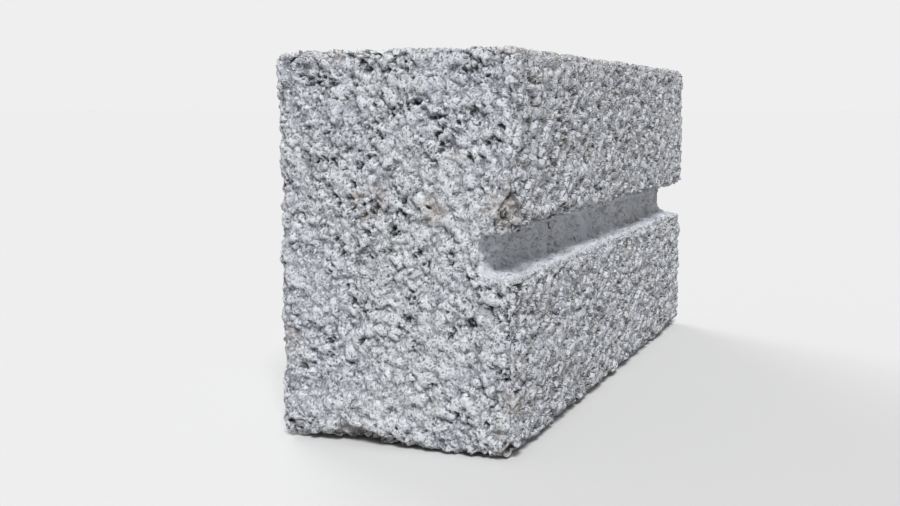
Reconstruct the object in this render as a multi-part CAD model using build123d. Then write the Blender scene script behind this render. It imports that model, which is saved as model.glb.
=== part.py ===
from build123d import *
import math
import os

# A solid cast concrete block with a key groove along the middle of one large face.
# X runs along the block's length, Y through its thickness and Z up its height as it is laid.
# The origin is the middle of the bottom bed, and the grooved face is on the +Y side.
# All sizes are in millimetres, and angles are in degrees.

# Overall size, without the mortar joint.
block_length = 440.0
block_thickness = 140.0
block_height = 215.0

# Rounding of the worn edges: those that run along the block, and those round its two ends.
long_edge_radius = 6.0
end_edge_radius = 3.0

# Key groove. Its walls lean apart so that the moulding bar comes out cleanly.
groove_depth = 20.0
groove_root_height = 19.0
groove_wall_lean = 4.0
groove_root_radius = 3.5
groove_lip_radius = 5.0


def groove_points():
    """The groove's corners on the large face's side: upper lip, upper root, lower root, lower lip."""
    face_y = block_thickness / 2
    root_y = face_y - groove_depth
    middle_z = block_height / 2
    root_half = groove_root_height / 2
    mouth_half = root_half + groove_depth * math.tan(math.radians(groove_wall_lean))
    return [
        (face_y, middle_z + mouth_half),
        (root_y, middle_z + root_half),
        (root_y, middle_z - root_half),
        (face_y, middle_z - mouth_half),
    ]


def section_outline():
    """The block's outline seen from its end, with sharp corners."""
    half = block_thickness / 2
    upper_lip, upper_root, lower_root, lower_lip = groove_points()
    return Polyline(
        (-half, 0),
        (-half, block_height),
        (half, block_height),
        upper_lip,
        upper_root,
        lower_root,
        lower_lip,
        (half, 0),
        close=True,
    )


def corners_at(sketch, places):
    """The sketch's corners that lie at these places."""
    corners = sketch.vertices()
    return [corners.sort_by_distance(Vector(*place, 0))[0] for place in places]


def section():
    """The rounded section: outer corners, groove lips and groove roots."""
    half = block_thickness / 2
    upper_lip, upper_root, lower_root, lower_lip = groove_points()
    face = make_face(section_outline())
    outer = [(y, z) for y in (-half, half) for z in (0, block_height)]
    face = fillet(corners_at(face, outer), long_edge_radius)
    face = fillet(corners_at(face, [upper_root, lower_root]), groove_root_radius)
    return fillet(corners_at(face, [upper_lip, lower_lip]), groove_lip_radius)


def block():
    """The section run along the block's length, with its end edges rounded all the way round."""
    left_end = Plane(origin=(-block_length / 2, 0, 0), x_dir=(0, 1, 0), z_dir=(1, 0, 0))
    body = extrude(left_end * section(), amount=block_length)
    ends = body.faces().filter_by(Axis.X)
    end_edges = [edge for end in ends for edge in end.outer_wire().edges()]
    return fillet(end_edges, end_edge_radius)


os.makedirs("parts", exist_ok=True)
export_step(block(), "parts/block.step")
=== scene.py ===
import math

import bmesh
import bpy
import numpy as np
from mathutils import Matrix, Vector


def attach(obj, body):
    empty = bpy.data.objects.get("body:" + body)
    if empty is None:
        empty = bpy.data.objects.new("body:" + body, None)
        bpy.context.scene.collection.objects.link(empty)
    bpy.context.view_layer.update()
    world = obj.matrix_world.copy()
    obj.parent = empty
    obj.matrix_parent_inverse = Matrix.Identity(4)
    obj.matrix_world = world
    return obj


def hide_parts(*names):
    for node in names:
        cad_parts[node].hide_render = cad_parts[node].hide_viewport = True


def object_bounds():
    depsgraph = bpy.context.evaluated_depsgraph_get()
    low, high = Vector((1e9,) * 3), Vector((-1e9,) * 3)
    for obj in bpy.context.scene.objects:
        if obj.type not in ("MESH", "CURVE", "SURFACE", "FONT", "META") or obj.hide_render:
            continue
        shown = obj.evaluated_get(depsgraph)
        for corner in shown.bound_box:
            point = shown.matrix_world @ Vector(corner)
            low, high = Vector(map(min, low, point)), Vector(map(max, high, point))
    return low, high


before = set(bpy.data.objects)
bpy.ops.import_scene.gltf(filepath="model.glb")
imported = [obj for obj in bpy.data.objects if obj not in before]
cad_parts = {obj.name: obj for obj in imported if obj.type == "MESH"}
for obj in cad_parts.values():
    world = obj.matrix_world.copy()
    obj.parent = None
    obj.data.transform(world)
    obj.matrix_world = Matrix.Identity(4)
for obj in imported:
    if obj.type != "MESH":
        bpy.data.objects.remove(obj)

mm = 0.001
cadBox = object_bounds()
cadLow, cadHigh = cadBox
middleHeight = (cadLow.z + cadHigh.z) / 2
half = [size / mm / 2 for size in cadHigh - cadLow]  # of the length, thickness and height, in millimetres
print("frame loaded, block is", [round(2 * size, 1) for size in half], "mm")


# Small helpers for node trees. A value is a number, or another node's output.
def feed(tree, socket, value):
    if isinstance(value, bpy.types.NodeSocket):
        tree.links.new(value, socket)
    else:
        socket.default_value = value


def calc(tree, operation, *values):
    node = tree.nodes.new("ShaderNodeMath")
    node.operation = operation
    for socket, value in zip(node.inputs, values):
        feed(tree, socket, value)
    return node.outputs[0]


def product(tree, first, *others):
    for value in others:
        first = calc(tree, "MULTIPLY", first, value)
    return first


def plus(tree, base, value, factor=1.0):
    return calc(tree, "MULTIPLY_ADD", value, factor, base)


def vectorCalc(tree, operation, first, second):
    node = tree.nodes.new("ShaderNodeVectorMath")
    node.operation = operation
    feed(tree, node.inputs[0], first)
    feed(tree, node.inputs[1], second)
    return node.outputs["Value" if operation == "DISTANCE" else "Vector"]


def split(tree, vector):
    node = tree.nodes.new("ShaderNodeSeparateXYZ")
    feed(tree, node.inputs[0], vector)
    return node.outputs[0], node.outputs[1], node.outputs[2]


# From start to end while the value goes from low to high
def ramp(tree, value, low, high, start=0.0, end=1.0, smooth=True):
    node = tree.nodes.new("ShaderNodeMapRange")
    node.interpolation_type = "SMOOTHSTEP" if smooth else "LINEAR"
    for socket, number in zip(node.inputs, (value, low, high, start, end)):
        feed(tree, socket, number)
    return node.outputs[0]


def mix(tree, factor, first, second):
    node = tree.nodes.new("ShaderNodeMix")
    for index, value in ((0, factor), (2, first), (3, second)):
        feed(tree, node.inputs[index], value)
    return node.outputs[0]


def mixColour(tree, factor, first, second, blend="MIX"):
    node = tree.nodes.new("ShaderNodeMix")
    node.data_type = "RGBA"
    node.blend_type = blend
    for index, value in ((0, factor), (6, first), (7, second)):
        feed(tree, node.inputs[index], value)
    return node.outputs[2]


def noiseNode(tree, place, size, detail, roughness=0.5):
    node = tree.nodes.new("ShaderNodeTexNoise")
    feed(tree, node.inputs["Vector"], place)
    node.inputs["Scale"].default_value = 1 / size
    node.inputs["Detail"].default_value = detail
    node.inputs["Roughness"].default_value = roughness
    return node


def noise(tree, place, size, detail=1.0, roughness=0.5):
    return noiseNode(tree, place, size, detail, roughness).outputs[0]


# The same noise, round zero
def swing(tree, place, size, detail=1.0, roughness=0.5):
    return calc(tree, "SUBTRACT", noise(tree, place, size, detail, roughness), 0.5)


def cellNode(tree, place, size, feature):
    node = tree.nodes.new("ShaderNodeTexVoronoi")
    node.feature = feature
    feed(tree, node.inputs["Vector"], place)
    node.inputs["Scale"].default_value = 1 / size
    return node


def cells(tree, place, size):
    node = cellNode(tree, place, size, "F1")
    return node.outputs["Distance"], node.outputs["Color"]


def cellBorders(tree, place, size):
    return cellNode(tree, place, size, "DISTANCE_TO_EDGE").outputs["Distance"]


# Takes a pattern from elsewhere, so that two patterns of one kind don't match
def shifted(tree, place, amount):
    return vectorCalc(tree, "ADD", place, (amount, amount * 1.7, amount * 0.6))


def lengthwise(tree, place, factor):
    return vectorCalc(tree, "MULTIPLY", place, (factor, 1, 1))


def bend(tree, place, size, amount):
    colour = noiseNode(tree, place, size, 1.0).outputs[1]
    centred = vectorCalc(tree, "SUBTRACT", colour, (0.5, 0.5, 0.5))
    return vectorCalc(tree, "ADD", place, vectorCalc(tree, "MULTIPLY", centred, (2 * amount,) * 3))


def dome(tree, distance, width):
    share = calc(tree, "DIVIDE", distance, width)
    rest = calc(tree, "SUBTRACT", 1.0, product(tree, share, share))
    return calc(tree, "SQRT", calc(tree, "MAXIMUM", rest, 0.0))


# One inside a pit or a gap and zero outside it, with a ragged rim. Width is where the rim lies.
def dent(tree, distance, width, rough, ragged, full):
    outline = plus(tree, calc(tree, "DIVIDE", distance, width), rough, ragged)
    return ramp(tree, outline, 1.2, full)


# The block's form, in millimetres and degrees
form = {
    "longEdge": 6.0,  # radii of the edges along the block and round its ends
    "endEdge": 3.0,
    "grooveDepth": 20.0,
    "rootHeight": 19.0,
    "wallLean": 4.0,
    "rootRadius": 3.5,
    "lipRadius": 5.0,
    "chips": [  # where an edge is broken away, each the bite of a ball: its centre and radius
        ((233.0, 86.0, 121.0), 30.0),  # at the groove's lip
        ((226.0, 75.5, 139.0), 11.0),
        ((227.0, -21.0, -9.5), 21.0),  # at the bottom of the end
        ((226.0, -2.0, -8.0), 15.0),
        ((228.0, 77.0, -7.0), 21.0),  # at corners
        ((227.0, -77.0, 222.0), 16.0),
        ((-229.0, 79.0, -8.0), 21.0),
        ((-60.0, 77.0, 221.0), 13.5),  # at the top of the grooved face
    ],
    "voxel": 0.9,  # size of the grid that the relief is pressed into
    "triangles": 194000,
    "nearEnd": 12.0,  # this much of the block at its +X end keeps the share below of its triangles
    "nearEndShare": 0.42,
}
mouthHalf = form["rootHeight"] / 2 + form["grooveDepth"] * math.tan(math.radians(form["wallLean"]))

# Relief of the concrete, in millimetres. Pairs are for the faces along the block and for its ends, but
# in a pair named Fade something starts at the first value and is full at the second, and a pair named
# Bend is the size of the waves in a pattern and how far they push it aside.
relief = {
    "stretch": 0.64,  # lumps are dragged along the block's length
    "wideBend": (11.0, 2.4),
    "fineBend": (3.0, 1.2),
    "endFade": (9.0, 1.0),  # from the end
    "grooveFade": (15.0, 11.5),  # from the groove's middle, up and down
    "grooveInFade": (2.0, 7.0),  # from the grooved face, into the block
    "grooveBackFade": (40.0, 35.0),  # from there too: farther in there is no groove
    "brokenFade": (2.5, 0.5),  # outside the ball of a bite
    "openPatch": 38.0,  # the texture is open in patches, and in spots
    "patchShare": 0.7,
    "openSpot": 10.0,
    "spotShare": 0.9,
    "openFade": (0.68, 0.98),
    "lumpSize": 5.4,
    "lumpDepth": (3.0, 3.1),
    "lumpFlat": (0.4, 0.0),
    "lumpLow": -2.6,  # how far the lumps' tops stand below or above each other
    "lumpHigh": 1.5,
    "crumbSize": 2.7,
    "crumbDepth": 2.3,
    "crumbLow": -2.4,
    "crumbHigh": 1.0,
    "crumbLift": (-0.9, -0.6),
    "roughSize": 2.1,
    "roughDepth": 1.8,
    "swell": 1.4,
    "swellSize": 13.0,
    "tightFloor": 1.9,  # depth of the gaps between lumps, in tight and open places
    "openFloor": 5.4,
    "ridgeFloor": 1.4,
    "tightTop": (-0.1, -0.3),  # height at which the mould cut the lumps off
    "openTop": (0.7, 1.1),
    "grooveTop": -0.2,
    "topSwell": 1.5,
    "creviceSpread": 4.0,
    "creviceFade": (0.52, 0.74),
    "creviceWidth": 0.09,  # share of a lump, at the widest
    "creviceDepth": 2.0,
    "swayBend": (48.0, 11.0),  # what is dragged along the block sways a little
    "streakLength": 2.0,  # dragged paste is this many times longer than high
    "streakBend": (7.0, 2.6),
    "streakSize": 2.6,
    "streakDepth": 1.9,
    "ridgeLength": 7.0,
    "ridgeBend": (5.0, 1.6),
    "ridgeSize": 6.5,
    "ridgeFade": (0.075, 0.02),
    "breakSize": 15.0,  # the ridges come and go
    "breakFade": (0.44, 0.58),
    "ridgeHeight": 1.2,
    "holeSpacing": 4.7,
    "holeRare": (0.86, 0.78),  # the nearer to one, the fewer holes
    "holeRareGroove": 0.9,
    "holeMore": (0.3, 0.42),  # what open places take off that
    "holeWidth": 0.66,  # share of the spacing, at the widest
    "holeDepth": 2.8,
    "cutOff": 0.5,  # the relief ends flat at this height
    "skin": 0.38,  # the least that any place is pressed in
    "wave": 0.8,
    "waveSize": 75.0,
    "edgeWear": 2.8,
    "edgeReach": 8.0,
    "lipShare": 0.55,  # the groove's lips are worn less than the edges
    "wearSize": 8.0,
    "wearFade": (0.3, 0.7),
    "leastWear": 0.2,
    "mostWear": 1.2,
    "bites": 1.4,
    "biteSize": 22.0,
    "biteFade": (0.5, 0.72),
    # a band of dust and painted shade under the top edges of the faces along the block
    "bandTopFade": (17.0, 1.0),  # below the top
    "bandSideFade": (11.0, 4.0),  # inwards from the faces along the block
    "bandInside": 0.3,
}


# Distances from the block's ends, faces, edges and lips, and masks for its ends and its groove
def whereabouts(tree, place):
    x, y, z = split(tree, place)
    fromEnd = calc(tree, "SUBTRACT", half[0], calc(tree, "ABSOLUTE", x))
    fromSide = calc(tree, "SUBTRACT", half[1], calc(tree, "ABSOLUTE", y))
    offMiddle = calc(tree, "ABSOLUTE", calc(tree, "SUBTRACT", z, half[2]))
    fromBed = calc(tree, "SUBTRACT", half[2], offMiddle)

    # distance to the nearest edge: the middle one of the three
    least = calc(tree, "MINIMUM", fromEnd, fromSide)
    most = calc(tree, "MAXIMUM", fromEnd, fromSide)
    toEdge = calc(tree, "MAXIMUM", least, calc(tree, "MINIMUM", most, fromBed))
    inwards = calc(tree, "SUBTRACT", half[1], y)
    offLip = calc(tree, "SUBTRACT", offMiddle, mouthHalf)
    squares = calc(tree, "ADD", product(tree, inwards, inwards), product(tree, offLip, offLip))
    endFace = ramp(tree, fromEnd, *relief["endFade"])
    inGroove = product(
        tree,
        ramp(tree, offMiddle, *relief["grooveFade"]),
        ramp(tree, inwards, *relief["grooveInFade"]),
        ramp(tree, inwards, *relief["grooveBackFade"]),
        calc(tree, "SUBTRACT", 1.0, endFace),
    )
    return {"up": z, "fromSide": fromSide, "toEdge": toEdge, "toLip": calc(tree, "SQRT", squares),
            "endFace": endFace, "inGroove": inGroove}


def brokenPlaces(tree, place):
    broken = 0.0
    for centre, radius in form["chips"]:
        limits = [radius + rim for rim in relief["brokenFade"]]
        away = vectorCalc(tree, "DISTANCE", place, centre)
        broken = calc(tree, "MAXIMUM", broken, ramp(tree, away, *limits))
    return broken


def openPlaces(tree, place, grain, broken):
    patch = noise(tree, place, relief["openPatch"])
    spot = noise(tree, shifted(tree, grain, 7.0), relief["openSpot"])
    both = plus(tree, product(tree, spot, relief["spotShare"]), patch, relief["patchShare"])
    return calc(tree, "MAXIMUM", ramp(tree, both, *relief["openFade"]), broken)


# Paste that the mould dragged along the faces, and the thin ridges it left
def draggedPaste(tree, place, whole):
    sway = bend(tree, place, *relief["swayBend"])
    drag = bend(tree, lengthwise(tree, sway, 1 / relief["streakLength"]), *relief["streakBend"])
    streak = swing(tree, drag, relief["streakSize"], detail=2.0, roughness=0.55)
    far = bend(tree, lengthwise(tree, sway, 1 / relief["ridgeLength"]), *relief["ridgeBend"])
    line = calc(tree, "ABSOLUTE", swing(tree, far, relief["ridgeSize"]))
    breaks = noise(tree, shifted(tree, place, 5.0), relief["breakSize"])
    line = ramp(tree, line, *relief["ridgeFade"])
    return product(tree, streak, whole), product(tree, line, ramp(tree, breaks, *relief["breakFade"]), whole)


def lumps(tree, place, name, depth, flat=None):
    distance, tone = cells(tree, place, relief[name + "Size"])
    random, other, _ = split(tree, tone)
    top = ramp(tree, random, 0.0, 1.0, relief[name + "Low"], relief[name + "High"], smooth=False)
    shape = dome(tree, distance, 0.8)
    if flat is not None:
        shape = mix(tree, flat, shape, ramp(tree, distance, 0.85, 0.4))
    return plus(tree, top, calc(tree, "SUBTRACT", shape, 1.0), depth), other


# Lumps with smaller crumbs between them. The tone differs from one to the next.
def crumbs(tree, bent, endFace):
    depth = mix(tree, endFace, *relief["lumpDepth"])
    flat = mix(tree, endFace, *relief["lumpFlat"])
    lump, lumpTone = lumps(tree, bent, "lump", depth, flat)
    crumb, crumbTone = lumps(tree, shifted(tree, bent, 31.7), "crumb", relief["crumbDepth"])
    crumb = plus(tree, crumb, mix(tree, endFace, *relief["crumbLift"]))
    tone = plus(tree, product(tree, crumbTone, 0.5), lumpTone, 0.5)
    return calc(tree, "SMOOTH_MAX", lump, crumb, 0.6), tone


# Height at which the mould cut the lumps off
def mouldFace(tree, openness, swell, endFace, inGroove):
    tightTop = mix(tree, endFace, *relief["tightTop"])
    openTop = mix(tree, endFace, *relief["openTop"])
    top = mix(tree, inGroove, mix(tree, openness, tightTop, openTop), relief["grooveTop"])
    return plus(tree, top, swell, relief["topSwell"])


# Depth of the gaps between the lumps
def gapFloor(tree, openness, ridge):
    floor = mix(tree, openness, -relief["tightFloor"], -relief["openFloor"])
    return mix(tree, ridge, floor, -relief["ridgeFloor"])


def crevices(tree, grain, bent, rough):
    border = cellBorders(tree, bent, relief["lumpSize"])
    spread = noise(tree, shifted(tree, grain, 23.0), relief["creviceSpread"], detail=2.0, roughness=0.6)
    width = ramp(tree, spread, *relief["creviceFade"], 0.004, relief["creviceWidth"])
    return dent(tree, border, width, rough, 2.0, 0.2)


# Pits where a crumb is missing
def holes(tree, bent, rough, openness, endFace, inGroove):
    distance, tone = cells(tree, shifted(tree, bent, 77.0), relief["holeSpacing"])
    more = product(tree, openness, mix(tree, endFace, *relief["holeMore"]))
    chosen = calc(tree, "ADD", split(tree, tone)[0], more)
    rare = mix(tree, inGroove, mix(tree, endFace, *relief["holeRare"]), relief["holeRareGroove"])
    width = ramp(tree, chosen, rare, 1.3, 0.01, relief["holeWidth"])
    return dent(tree, distance, width, rough, 3.0, 0.3)


# A steady rounding and irregular bites
def edgeWear(tree, place, toEdge, toLip):
    uneven = noise(tree, shifted(tree, place, 13.0), relief["wearSize"], detail=2.0, roughness=0.6)
    uneven = ramp(tree, uneven, *relief["wearFade"], relief["leastWear"], relief["mostWear"])
    bites = noise(tree, shifted(tree, place, 50.0), relief["biteSize"])
    wear = plus(tree, uneven, ramp(tree, bites, *relief["biteFade"]), relief["bites"])
    nearEdge = ramp(tree, toEdge, relief["edgeReach"], 0.0)
    nearLip = ramp(tree, toLip, relief["edgeReach"], 0.0, 0.0, relief["lipShare"])
    return product(tree, calc(tree, "MAXIMUM", nearEdge, nearLip), wear)


# A band of dust and painted shade under the top edges of the faces along the block
def dustShadeBand(tree, up, fromSide, whole):
    limits = [2 * half[2] - down for down in relief["bandTopFade"]]
    nearSide = ramp(tree, fromSide, *relief["bandSideFade"], relief["bandInside"], 1.0)
    return product(tree, ramp(tree, up, *limits), whole, nearSide)


# Everything that the relief's geometry and the concrete's colours share
def reliefNodes(tree, position):
    place = vectorCalc(tree, "MULTIPLY", position, (1 / mm,) * 3)
    where = whereabouts(tree, place)
    endFace, inGroove = where["endFace"], where["inGroove"]
    grain = lengthwise(tree, place, relief["stretch"])
    even = bend(tree, grain, *relief["wideBend"])
    bent = bend(tree, even, *relief["fineBend"])
    rough = swing(tree, grain, relief["roughSize"], detail=2.0, roughness=0.6)
    swell = swing(tree, shifted(tree, place, 91.0), relief["swellSize"])
    broken = brokenPlaces(tree, place)
    openness = openPlaces(tree, place, grain, broken)
    whole = calc(tree, "SUBTRACT", 1.0, calc(tree, "MAXIMUM", endFace, broken))  # sound faces along the block
    streak, ridge = draggedPaste(tree, place, whole)
    crevice = product(tree, crevices(tree, grain, bent, rough), mix(tree, inGroove, whole, 0.0))
    hole = holes(tree, bent, rough, openness, endFace, inGroove)
    hole = product(tree, hole, calc(tree, "SUBTRACT", 1.0, ridge))

    height, tone = crumbs(tree, bent, endFace)
    height = plus(tree, height, swell, relief["swell"])
    height = calc(tree, "SMOOTH_MAX", height, gapFloor(tree, openness, ridge), 0.5)
    height = calc(tree, "SMOOTH_MIN", height, mouldFace(tree, openness, swell, endFace, inGroove), 0.5)
    for change, amount in (
        (crevice, -relief["creviceDepth"]),
        (ridge, relief["ridgeHeight"]),
        (streak, relief["streakDepth"]),
        (rough, relief["roughDepth"]),
        (hole, -relief["holeDepth"]),
    ):
        height = plus(tree, height, change, amount)
    height = calc(tree, "MINIMUM", calc(tree, "SUBTRACT", height, relief["cutOff"]), 0.0)

    wave = product(tree, noise(tree, place, relief["waveSize"]), relief["wave"])
    depth = plus(tree, calc(tree, "SUBTRACT", wave, height), relief["skin"])
    worn = edgeWear(tree, place, where["toEdge"], where["toLip"])
    return {
        "Depth": plus(tree, depth, worn, relief["edgeWear"]),
        "Height": height,
        "Grain": bent,
        "Even": even,
        "Tone": tone,
        "Hole": hole,
        "Crevice": crevice,
        "Ridge": ridge,
        "Streak": streak,
        "Broken": broken,
        "End": endFace,
        "Groove": inGroove,
        "TopBand": dustShadeBand(tree, where["up"], where["fromSide"], whole),
    }


def reliefGroup(kind):
    tree = bpy.data.node_groups.new("concreteRelief" + kind[:3], kind)
    tree.interface.new_socket("Position", in_out="INPUT", socket_type="NodeSocketVector")
    inside = tree.nodes.new("NodeGroupInput")
    outside = tree.nodes.new("NodeGroupOutput")
    for name, socket in reliefNodes(tree, inside.outputs["Position"]).items():
        kindOf = "NodeSocketVector" if name in ("Grain", "Even") else "NodeSocketFloat"
        tree.interface.new_socket(name, in_out="OUTPUT", socket_type=kindOf)
        tree.links.new(socket, outside.inputs[name])
    return tree


# The smooth block, modelled as its section run along its length
def grooveCorners():
    face = cadHigh.y
    root = face - form["grooveDepth"] * mm
    rootRise, mouthRise = form["rootHeight"] * mm / 2, mouthHalf * mm
    return [(face, middleHeight + mouthRise), (root, middleHeight + rootRise),
            (root, middleHeight - rootRise), (face, middleHeight - mouthRise)]


def smoothBlock():
    corners = [(cadLow.y, cadLow.z), (cadLow.y, cadHigh.z), (cadHigh.y, cadHigh.z)]
    corners += grooveCorners() + [(cadHigh.y, cadLow.z)]
    outer, lip, root = form["longEdge"], form["lipRadius"], form["rootRadius"]
    radii = [outer, outer, outer, lip, root, root, lip, outer]
    bm = bmesh.new()
    verts = [bm.verts.new((cadLow.x, y, z)) for y, z in corners]
    bm.faces.new(verts)
    for radius in sorted(set(radii)):
        chosen = [vert for vert, size in zip(verts, radii) if size == radius]
        bmesh.ops.bevel(bm, geom=chosen, offset=radius * mm, segments=6, profile=0.5,
                        affect="VERTICES", material=-1, clamp_overlap=False)
    grown = bmesh.ops.extrude_face_region(bm, geom=bm.faces[:])
    moved = [part for part in grown["geom"] if isinstance(part, bmesh.types.BMVert)]
    bmesh.ops.translate(bm, verts=moved, vec=((cadHigh - cadLow).x, 0, 0))
    bmesh.ops.recalc_face_normals(bm, faces=bm.faces[:])
    rims = [edge for edge in bm.edges if abs(edge.verts[0].co.x - edge.verts[1].co.x) < mm]
    bmesh.ops.bevel(bm, geom=rims, offset=form["endEdge"] * mm, segments=4, profile=0.5,
                    affect="EDGES", material=-1, clamp_overlap=False)
    mesh = bpy.data.meshes.new("block")
    bm.to_mesh(mesh)
    bm.free()
    return mesh


def chipCutter():
    bm = bmesh.new()
    for centre, radius in form["chips"]:
        ball = bmesh.ops.create_icosphere(bm, subdivisions=3, radius=radius * mm)
        bmesh.ops.translate(bm, verts=ball["verts"], vec=[size * mm for size in centre])
    mesh = bpy.data.meshes.new("chips")
    bm.to_mesh(mesh)
    bm.free()
    cutter = bpy.data.objects.new("chips", mesh)
    bpy.context.scene.collection.objects.link(cutter)
    return cutter


def storeAttribute(tree, geometry, name, value):
    node = tree.nodes.new("GeometryNodeStoreNamedAttribute")
    node.data_type = "FLOAT_VECTOR"
    node.inputs["Name"].default_value = name
    tree.links.new(geometry, node.inputs["Geometry"])
    tree.links.new(value, node.inputs["Value"])
    return node.outputs[0]


# Keeps each point's place and direction on the smooth block, then pushes it in by the relief's depth
def reliefModifier(block):
    tree = bpy.data.node_groups.new("pushIn", "GeometryNodeTree")
    for way in ("INPUT", "OUTPUT"):
        tree.interface.new_socket("Geometry", in_out=way, socket_type="NodeSocketGeometry")
    inside = tree.nodes.new("NodeGroupInput")
    outside = tree.nodes.new("NodeGroupOutput")
    place = tree.nodes.new("GeometryNodeInputPosition").outputs[0]
    normal = tree.nodes.new("GeometryNodeInputNormal").outputs[0]
    group = tree.nodes.new("GeometryNodeGroup")
    group.node_tree = reliefGroup("GeometryNodeTree")
    tree.links.new(place, group.inputs["Position"])
    geometry = storeAttribute(tree, inside.outputs[0], "restPlace", place)
    geometry = storeAttribute(tree, geometry, "restFacing", normal)
    move = tree.nodes.new("GeometryNodeSetPosition")
    tree.links.new(geometry, move.inputs["Geometry"])
    inward = product(tree, group.outputs["Depth"], -mm)
    tree.links.new(vectorCalc(tree, "MULTIPLY", normal, inward), move.inputs["Offset"])
    tree.links.new(move.outputs[0], outside.inputs[0])
    block.modifiers.new("relief", "NODES").node_group = tree


# Turns what the modifiers make into the block's own mesh
def settle(block):
    graph = bpy.context.evaluated_depsgraph_get()
    mesh = bpy.data.meshes.new_from_object(block.evaluated_get(graph), depsgraph=graph)
    block.modifiers.clear()
    block.data = mesh
    return mesh


def triangleCount(mesh):
    mesh.calc_loop_triangles()
    return len(mesh.loop_triangles)


def thin(block, share, group=""):
    modifier = block.modifiers.new("thin", "DECIMATE")
    modifier.ratio = share
    modifier.vertex_group = group
    modifier.vertex_group_factor = 1000  # only the group's points go
    modifier.use_collapse_triangulate = True
    return settle(block)


# How the faces lie on the sheet that the pattern is baked to, in millimetres: which way each one faces,
# what runs across and up the sheet, and the lower left corner. The last two rows are the groove's walls.
sheetSide = 736.0
sheet = [
    ((0, 1, 0), (-1, 0, 0), (0, 0, 1), (4, 4)),
    ((0, -1, 0), (1, 0, 0), (0, 0, 1), (4, 223)),
    ((0, 0, 1), (1, 0, 0), (0, 1, 0), (4, 442)),
    ((0, 0, -1), (1, 0, 0), (0, -1, 0), (4, 586)),
    ((1, 0, 0), (0, 1, 0), (0, 0, 1), (448, 4)),
    ((-1, 0, 0), (0, -1, 0), (0, 0, 1), (592, 4)),
    ((0, 0, -1), (0, 1, 0), (1, 0, 0), (328, 227)),
    ((0, 0, 1), (0, -1, 0), (1, 0, 0), (476, 227)),
]
beds, walls = slice(2, 4), slice(6, 8)
wallReach = 40.0  # nearer than this to the middle height, what faces up or down is a wall of the groove


def readWhole(items, name, kind, width=1):
    values = np.empty(len(items) * width, kind)
    items.foreach_get(name, values)
    return values


def layOut(mesh):
    corners = readWhole(mesh.loops, "vertex_index", np.int32)
    starts = readWhole(mesh.polygons, "loop_start", np.int32)
    totals = readWhole(mesh.polygons, "loop_total", np.int32)
    rest, facing = [readWhole(mesh.attributes[name].data, "vector", np.float32, 3).reshape(-1, 3)[corners]
                    for name in ("restPlace", "restFacing")]
    place = (rest - np.array((cadLow + cadHigh) / 2)) / mm
    offMiddle = np.add.reduceat(place, starts)[:, 2] / totals
    match = np.add.reduceat(facing, starts) @ np.array([way for way, _, _, _ in sheet], float).T
    inGroove = np.abs(offMiddle) < wallReach
    match[inGroove, beds] = -np.inf
    match[~inGroove, walls] = -np.inf
    chart = np.repeat(match.argmax(axis=1), totals)
    reach = np.array((cadHigh - cadLow) / 2) / mm
    places = np.empty((len(corners), 2))
    for index, (_, across, up, corner) in enumerate(sheet):
        mine = chart == index
        for side, axis in enumerate((across, up)):
            places[mine, side] = place[mine] @ np.array(axis, float) + np.abs(axis) @ reach + corner[side]
    layer = mesh.uv_layers.new(name="OFBake")
    layer.uv.foreach_set("vector", (places / sheetSide).astype(np.float32).ravel())
    mesh.attributes.remove(mesh.attributes["restFacing"])


# The block's +X end, which the camera sees from nearby, keeps more of its triangles
def thinBlock(block, mesh):
    if triangleCount(mesh) > form["triangles"]:
        mesh = thin(block, form["nearEndShare"])
        limit = cadHigh.x - form["nearEnd"] * mm
        elsewhere = block.vertex_groups.new(name="elsewhere")
        elsewhere.add([vert.index for vert in mesh.vertices if vert.co.x < limit], 1.0, "REPLACE")
        mesh = thin(block, form["triangles"] / triangleCount(mesh), elsewhere.name)
        block.vertex_groups.clear()
    return mesh


def makeBlock():
    block = bpy.data.objects.new("block_surface", smoothBlock())
    bpy.context.scene.collection.objects.link(block)
    cutter = chipCutter()
    bite = block.modifiers.new("bites", "BOOLEAN")
    bite.operation = "DIFFERENCE"
    bite.object = cutter
    bite.use_self = True
    remesh = block.modifiers.new("even", "REMESH")
    remesh.mode = "VOXEL"
    remesh.voxel_size = form["voxel"] * mm
    remesh.use_smooth_shade = True
    reliefModifier(block)
    mesh = settle(block)
    bpy.data.objects.remove(cutter)
    print("relief pressed in,", triangleCount(mesh), "triangles")
    mesh = thinBlock(block, mesh)
    print("thinned to", triangleCount(mesh), "triangles")
    layOut(mesh)
    mesh.shade_smooth()
    return block


block = makeBlock()
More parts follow.
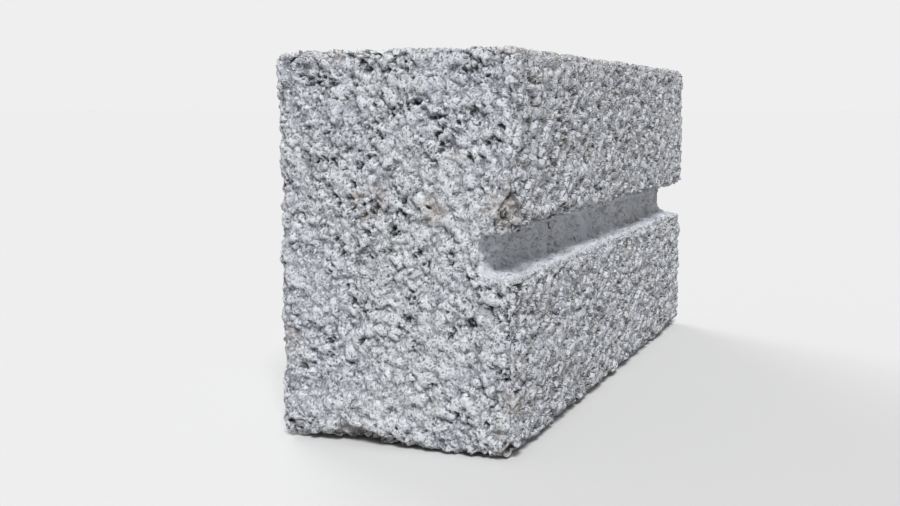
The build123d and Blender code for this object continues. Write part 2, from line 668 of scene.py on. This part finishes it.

# Colours of the concrete, and of the painted shade and light on it, sizes in millimetres, and how much of
# each thing shows. Fade is as above.
concrete = {
    "paste": (0.508, 0.534, 0.568, 1),
    "cool": (0.44, 0.464, 0.532, 1),
    "light": (0.775, 0.795, 0.822, 1),
    "dark": (0.196, 0.202, 0.216, 1),
    # near black: painted shade in pits, holes, crevices, chinks and fine gaps
    "pitShade": (0.036, 0.034, 0.034, 1),
    "warm": (0.392, 0.336, 0.304, 1),
    # brownish: dust and painted shade under the top edges
    "dustShade": (0.336, 0.292, 0.248, 1),
    "broken": (0.336, 0.3, 0.276, 1),
    "coolTint": (0.9, 0.915, 1.0, 1),  # patches on the faces along the block
    "warmTint": (1.0, 0.94, 0.89, 1),
    "tintSize": 8.0,
    "coolTintFade": (0.62, 0.36),
    "warmTintFade": (0.54, 0.7),
    "tintShare": 0.5,
    "coolSize": 42.0,
    "coolFade": (0.35, 0.65),
    "warmSize": 19.0,
    "warmFade": (0.57, 0.74),
    "warmShare": 0.55,
    # the band of dust and painted shade under the top edges
    "bandSize": 14.0,
    "bandFade": (0.36, 0.66),
    "bandShare": 0.62,
    "gapSpacing": 4.4,  # the gaps between crumbs on the faces along the block
    "gapSpread": 6.0,
    "gapFade": (0.4, 0.68),
    "gapWidth": 0.09,
    # how much painted shade the fine gaps get
    "gapShare": 0.58,
    "gapBump": 0.7,
    "grainSize": 1.25,
    "grainBump": 0.8,
    # painted light on the grain's tops and painted shade low in it
    "grainTopLight": 2.6,
    "grainLevel": 4.0,  # grain counts as this much height in the relief
    "speckSize": 1.2,
    "speckBump": 0.15,
    "lightSpeckFade": (0.7, 0.95),
    "lightSpecks": 0.62,
    "darkSpeckFade": (0.22, 0.05),
    "darkSpecks": 0.48,
    "reliefBump": 0.3,
    # painted light high in the relief and painted shade low in it
    "levelLight": 0.22,
    "crumbTone": 0.5,
    # painted light on raised streaks and painted shade in sunken ones
    "streakShading": 1.8,
    # painted light: the faces along the block are made lighter than the ends, for the weaker light that falls
    # on them
    "faceLight": 0.78,  # how much lighter the faces along the block are than the ends
    "lightFade": (-0.3, 0.35),
    "lightShare": 0.8,
    # painted shade: darker low in the relief, and near black deeper down and in holes and crevices
    "lowShadeFade": (-4.6, -1.0),  # height in the relief: lower down it is dark
    "pitFade": (-3.6, -6.2),
    "pitShare": 0.92,
    "holeShare": 0.8,
    "creviceShare": 0.7,
    # painted shade in the chinks between the grains
    "chinkFade": (0.31, 0.2),
    "chinks": 0.85,
    "grooveChinks": 0.3,
    # painted highlight along the ridges
    "ridgeHighlight": 0.75,
    "specular": 0.25,
    "smoothest": 0.8,
    "roughest": 0.98,
}


# A net of fine gaps on the faces along the block
def fineGaps(tree, part, uneven):
    border = cellBorders(tree, shifted(tree, part["Grain"], 19.0), concrete["gapSpacing"])
    spread = noise(tree, shifted(tree, part["Even"], 29.0), concrete["gapSpread"], detail=2.0, roughness=0.6)
    width = ramp(tree, spread, *concrete["gapFade"], 0.005, concrete["gapWidth"])
    elsewhere = calc(tree, "ADD", part["End"], part["Groove"])
    return product(tree, dent(tree, border, width, uneven, 2.0, 0.3), ramp(tree, elsewhere, 1.0, 0.0))


# Grey paste: darker low in the relief, as painted shade, and lighter on top of the crumbs, the grain and the
# streaks, as painted light. The crumbs also differ in tone at random, and the faces along the block are
# painted lighter than the ends.
def shadedPaste(tree, part, uneven, level):
    cool = noise(tree, shifted(tree, part["Grain"], 40.0), concrete["coolSize"], detail=2.0)
    cool = ramp(tree, cool, *concrete["coolFade"])
    colour = mixColour(tree, cool, concrete["paste"], concrete["cool"])
    # painted shade low in the relief
    colour = mixColour(tree, ramp(tree, level, *concrete["lowShadeFade"]), concrete["dark"], colour)
    # painted light high in the relief, on the grain's tops, on raised streaks and on the faces along the
    # block, with the crumbs' own random tone
    bright = plus(tree, product(tree, level, concrete["levelLight"]), part["Tone"], concrete["crumbTone"])
    bright = plus(tree, bright, uneven, concrete["grainTopLight"])
    bright = plus(tree, bright, part["Streak"], concrete["streakShading"])
    bright = plus(tree, bright, mix(tree, part["End"], concrete["faceLight"], 0.0))
    bright = ramp(tree, bright, *concrete["lightFade"], 0.0, concrete["lightShare"])
    return mixColour(tree, bright, colour, concrete["light"])


# Painted shade deep in the relief, in holes and in crevices
def pitShading(tree, part, level):
    deep = calc(tree, "MAXIMUM", ramp(tree, level, *concrete["pitFade"]),
                product(tree, part["Hole"], concrete["holeShare"]))
    deep = calc(tree, "MAXIMUM", deep, product(tree, part["Crevice"], concrete["creviceShare"]))
    return product(tree, deep, concrete["pitShare"])


# What lies over the paste, from the lowest to the topmost: how much of it shows, and its colour. The chinks,
# the deep places, holes, crevices and fine gaps get painted shade, the ridges a painted highlight, and the
# band under the top edges dust and painted shade.
def colourLayers(tree, part, fine, level, specks, speck, gap):
    # painted shade in the chinks between the grains
    chink = plus(tree, fine, specks, -0.25)
    chink = ramp(tree, chink, *concrete["chinkFade"], 0.0, concrete["chinks"])
    warm = noise(tree, part["Grain"], concrete["warmSize"], detail=3.0, roughness=0.65)
    # dust and painted shade under the top edges
    dustShade = noise(tree, part["Grain"], concrete["bandSize"], detail=3.0, roughness=0.6)
    dustShade = ramp(tree, dustShade, *concrete["bandFade"], 0.0, concrete["bandShare"])
    return [
        (ramp(tree, speck, *concrete["lightSpeckFade"], 0.0, concrete["lightSpecks"]), "light"),
        (ramp(tree, speck, *concrete["darkSpeckFade"], 0.0, concrete["darkSpecks"]), "dark"),
        (product(tree, chink, mix(tree, part["Groove"], 1.0, concrete["grooveChinks"])), "pitShade"),
        (ramp(tree, warm, *concrete["warmFade"], 0.0, concrete["warmShare"]), "warm"),
        (product(tree, dustShade, part["TopBand"]), "dustShade"),
        (product(tree, part["Broken"], ramp(tree, fine, 0.3, 0.7, 0.75, 0.25)), "broken"),
        # painted highlight along the ridges
        (product(tree, part["Ridge"], concrete["ridgeHighlight"]), "light"),
        # painted shade deep in the relief, in holes, crevices and fine gaps
        (pitShading(tree, part, level), "pitShade"),
        (product(tree, gap, concrete["gapShare"]), "pitShade"),
    ]


# Bluish and brownish patches
def tinted(tree, part, colour):
    tint = noise(tree, shifted(tree, part["Grain"], 63.0), concrete["tintSize"], detail=2.0, roughness=0.6)
    share = mix(tree, part["End"], concrete["tintShare"], 0.0)
    for name in ("coolTint", "warmTint"):
        patch = product(tree, ramp(tree, tint, *concrete[name + "Fade"]), share)
        colour = mixColour(tree, patch, colour, concrete[name], "MULTIPLY")
    return colour


def bumpNormal(tree, part, fine, speck, gap):
    height = product(tree, fine, concrete["grainBump"])
    height = plus(tree, height, speck, concrete["speckBump"])
    height = plus(tree, height, part["Height"], concrete["reliefBump"])
    height = plus(tree, height, gap, -concrete["gapBump"])
    bump = tree.nodes.new("ShaderNodeBump")
    bump.inputs["Strength"].default_value = 1.0
    bump.inputs["Distance"].default_value = mm
    tree.links.new(height, bump.inputs["Height"])
    return bump.outputs[0]


def concreteMaterial():
    material = bpy.data.materials.new("concrete")
    material.use_nodes = True
    tree = material.node_tree
    shader = tree.nodes["Principled BSDF"]
    rest = tree.nodes.new("ShaderNodeAttribute")
    rest.attribute_name = "restPlace"
    group = tree.nodes.new("ShaderNodeGroup")
    group.node_tree = reliefGroup("ShaderNodeTree")
    tree.links.new(rest.outputs["Vector"], group.inputs["Position"])
    part = group.outputs

    fine = noise(tree, part["Even"], concrete["grainSize"], detail=3.0, roughness=0.75)
    uneven = calc(tree, "SUBTRACT", fine, 0.5)
    level = plus(tree, part["Height"], uneven, concrete["grainLevel"])
    specks, speckTone = cells(tree, part["Even"], concrete["speckSize"])
    speck = split(tree, speckTone)[0]
    gap = fineGaps(tree, part, uneven)
    colour = shadedPaste(tree, part, uneven, level)
    for share, name in colourLayers(tree, part, fine, level, specks, speck, gap):
        colour = mixColour(tree, share, colour, concrete[name])
    tree.links.new(tinted(tree, part, colour), shader.inputs["Base Color"])
    shader.inputs["Specular IOR Level"].default_value = concrete["specular"]
    roughness = ramp(tree, speck, 0.0, 1.0, concrete["roughest"], concrete["smoothest"])
    tree.links.new(roughness, shader.inputs["Roughness"])
    tree.links.new(bumpNormal(tree, part, fine, speck, gap), shader.inputs["Normal"])
    return material


block.data.materials.append(concreteMaterial())
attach(block, "root")
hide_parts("block")
print("concrete material made")

# Studio: a pale floor, an even sky, a key lamp from above and a low, broad fill lamp from the other side
studio = {
    "floor": (0.45, 0.45, 0.45, 1),  # as it lights the block, and as it is seen
    "floorSeen": (0.688, 0.688, 0.688, 1),
    "floorRadius": 60.0,  # metres
    "sky": 0.36,  # strength as light, and as it is seen
    "background": 0.863,
    "key": {"strength": 3.0, "breadth": 18.0, "azimuth": 114.0, "elevation": 46.0},
    "fill": {"strength": 2.5, "breadth": 40.0, "azimuth": 318.0, "elevation": 14.0},
}


# Azimuth 0 is towards the plain face (-Y), and 90 towards the +X end
def towards(azimuth, elevation):
    turn, tilt = math.radians(azimuth), math.radians(elevation)
    return Vector((math.sin(turn) * math.cos(tilt), -math.cos(turn) * math.cos(tilt), math.sin(tilt)))


def makeLamp(name, strength, breadth, azimuth, elevation):
    lamp = bpy.data.lights.new(name, "SUN")
    lamp.energy = strength
    lamp.angle = math.radians(breadth)
    holder = bpy.data.objects.new(name, lamp)
    holder.location = towards(azimuth, elevation) * 2
    holder.rotation_euler = (-holder.location).to_track_quat("-Z", "Y").to_euler()
    bpy.context.scene.collection.objects.link(holder)


def makeFloor():
    bm = bmesh.new()
    bmesh.ops.create_circle(bm, cap_ends=True, segments=96, radius=studio["floorRadius"])
    mesh = bpy.data.meshes.new("floor")
    bm.to_mesh(mesh)
    bm.free()
    floor = bpy.data.objects.new("floor", mesh)
    bpy.context.scene.collection.objects.link(floor)
    material = bpy.data.materials.new("paleFloor")
    material.use_nodes = True
    tree = material.node_tree
    shader = tree.nodes["Principled BSDF"]
    seen = tree.nodes.new("ShaderNodeLightPath").outputs["Is Camera Ray"]
    colour = mixColour(tree, seen, studio["floor"], studio["floorSeen"])
    tree.links.new(colour, shader.inputs["Base Color"])
    shader.inputs["Roughness"].default_value = 1.0
    shader.inputs["Specular IOR Level"].default_value = 0.0
    mesh.materials.append(material)


def makeSky():
    world = bpy.data.worlds.new("softSky")
    bpy.context.scene.world = world
    world.use_nodes = True
    tree = world.node_tree
    sky = tree.nodes["Background"]
    sky.inputs["Color"].default_value = (1, 1, 1, 1)
    seen = tree.nodes.new("ShaderNodeLightPath").outputs["Is Camera Ray"]
    strength = mix(tree, seen, studio["sky"], studio["background"])
    tree.links.new(strength, sky.inputs["Strength"])


camera = {"azimuth": 115.0, "elevation": 7.0, "distance": 0.62, "lens": 47.0, "aim": (0.155, 0.008, 0.1)}


def makeCamera():
    data = bpy.data.cameras.new("camera")
    data.lens = camera["lens"]
    view = bpy.data.objects.new("camera", data)
    endMiddle = Vector((cadHigh.x, 0, middleHeight))
    view.location = endMiddle + towards(camera["azimuth"], camera["elevation"]) * camera["distance"]
    look = Vector(camera["aim"]) - view.location
    view.rotation_euler = look.to_track_quat("-Z", "Y").to_euler()
    bpy.context.scene.collection.objects.link(view)
    bpy.context.scene.camera = view


makeFloor()
makeSky()
makeLamp("key", **studio["key"])
makeLamp("fill", **studio["fill"])
makeCamera()
bpy.context.scene.view_settings.view_transform = "Standard"
print("studio and camera in place")
